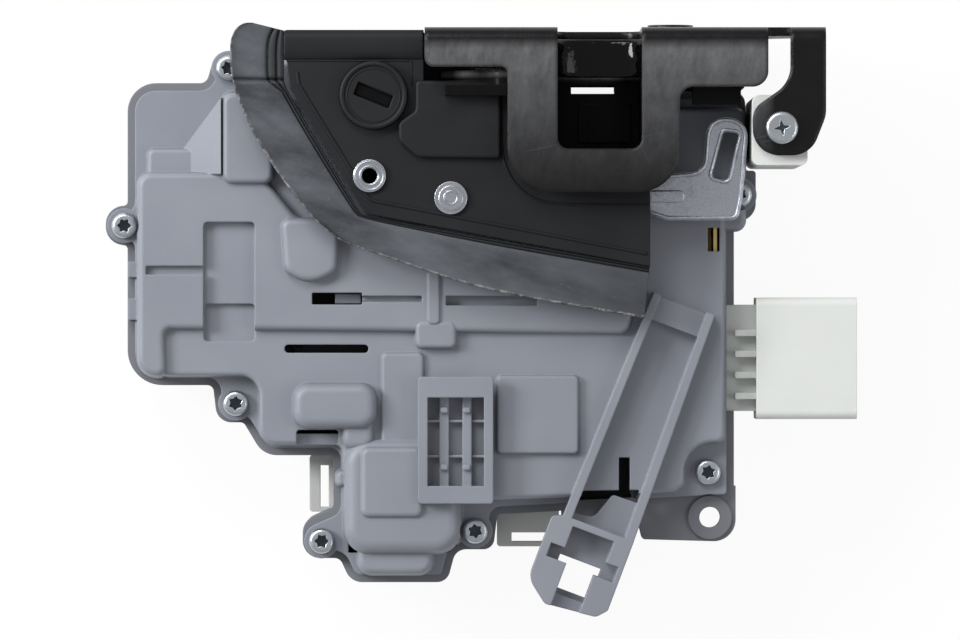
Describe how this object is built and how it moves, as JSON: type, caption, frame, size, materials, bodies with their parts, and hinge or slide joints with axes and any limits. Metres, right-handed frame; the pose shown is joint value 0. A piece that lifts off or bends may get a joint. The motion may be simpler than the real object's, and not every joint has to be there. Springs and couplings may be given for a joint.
{
  "type": "door latch actuator",
  "caption": "Vehicle door latch: claw and pawl behind a folded steel face plate, with a motor driven lock in a moulded housing.",
  "frame": {"origin": "on the flat back of the rear cover, behind the middle of the housing", "axes": "+X right and +Y up as seen from the front, the face plate faces +Y; +Z out of the front"},
  "size_m": [0.1714, 0.1348, 0.0552],
  "materials": {
    "cover_grey": "satin moulded grey glass-filled polyester",
    "base_grey": "matt dark grey glass-filled polyester",
    "natural_white": "translucent off-white nylon",
    "panel_black": "fine-grained black nylon",
    "inner_black": "glossy black acetal",
    "plate_black": "black electro-coated steel",
    "zinc_steel": "zinc plated steel",
    "rubber_grey": "dull dark grey rubber",
    "spring_steel": "bright spring wire",
    "brass": "plain brass strip",
    "gear_plastic": "cream acetal",
    "motor_steel": "nickel plated motor can",
    "switch_black": "black switch case"
  },
  "bodies": {
    "housing": {"housing_cover": "cover_grey", "housing_base": "base_grey", "rear_cover": "natural_white", "clip_frame": "cover_grey", "face_plate": "plate_black", "latch_back_plate": "plate_black", "latch_body": "inner_black", "claw_pin": "plate_black", "pawl_pin": "plate_black", "claw_spring": "spring_steel", "pawl_spring": "spring_steel", "latch_panel": "panel_black", "panel_seal": "rubber_grey", "hollow_rivet": "zinc_steel", "solid_rivet": "zinc_steel", "lever_pivot": "zinc_steel", "lever_spring": "spring_steel", "slot_buffer": "inner_black", "wheel_axle": "spring_steel", "lock_motor": "motor_steel", "inside_lever_pin": "spring_steel", "connector_housing": "natural_white", "connector_pins": "brass", "lead_frame": "brass", "microswitches": "switch_black", "cover_screws": "zinc_steel", "hook_screw": "zinc_steel"},
    "claw_body": {"claw": "inner_black"},
    "pawl_body": {"pawl": "zinc_steel"},
    "outside_lever": {"outside_release_lever": "zinc_steel"},
    "inside_lever": {"inside_release_lever": "zinc_steel"},
    "child_lock": {"child_lock_rotor": "panel_black"},
    "motor_shaft": {"worm": "spring_steel"},
    "drive_wheel": {"worm_wheel": "gear_plastic"},
    "lock_slide": {"lock_slider": "cover_grey"}
  },
  "joints": [
    {"name": "claw_turn", "type": "hinge", "parent": "housing", "child": "claw_body", "pos_m": [0.0435, 0.061, 0.025], "axis": [0, -1, 0], "range_deg": [0, 65], "stiffness_Nm_per_rad": 0.05},
    {"name": "pawl_turn", "type": "hinge", "parent": "housing", "child": "pawl_body", "pos_m": [0.012, 0.061, 0.011], "axis": [0, 1, 0], "range_deg": [0, 8], "stiffness_Nm_per_rad": 0.05},
    {"name": "outside_lever_turn", "type": "hinge", "parent": "housing", "child": "outside_lever", "pos_m": [0.027, 0.0278, 0.0416], "axis": [0, 0, 1], "range_deg": [0, 10], "stiffness_Nm_per_rad": 0.05},
    {"name": "inside_lever_turn", "type": "hinge", "parent": "housing", "child": "inside_lever", "pos_m": [0.0472, 0.0146, 0.0212], "axis": [0, 0, -1], "range_deg": [0, 20]},
    {"name": "child_lock_turn", "type": "hinge", "parent": "housing", "child": "child_lock", "pos_m": [-0.0241, 0.0507, 0.045], "axis": [0, 0, 1], "range_deg": [0, 60]},
    {"name": "lock_motor_turn", "type": "hinge", "parent": "housing", "child": "motor_shaft", "pos_m": [-0.0176, -0.02, 0.0196], "axis": [0, -1, 0], "range_deg": [0, 1800]},
    {"name": "wheel_turn", "type": "hinge", "parent": "housing", "child": "drive_wheel", "pos_m": [-0.0325, -0.0135, 0.018], "axis": [0, 0, 1], "range_deg": [0, 60]},
    {"name": "slider_travel", "type": "slide", "parent": "housing", "child": "lock_slide", "axis": [-1, 0, 0], "range_m": [0, 0.00503]}
  ],
  "couplings": [
    {"joint": "wheel_turn", "follows": "slider_travel", "rad_per_m": 208.33},
    {"joint": "lock_motor_turn", "follows": "slider_travel", "rad_per_m": 6250}
  ]
}
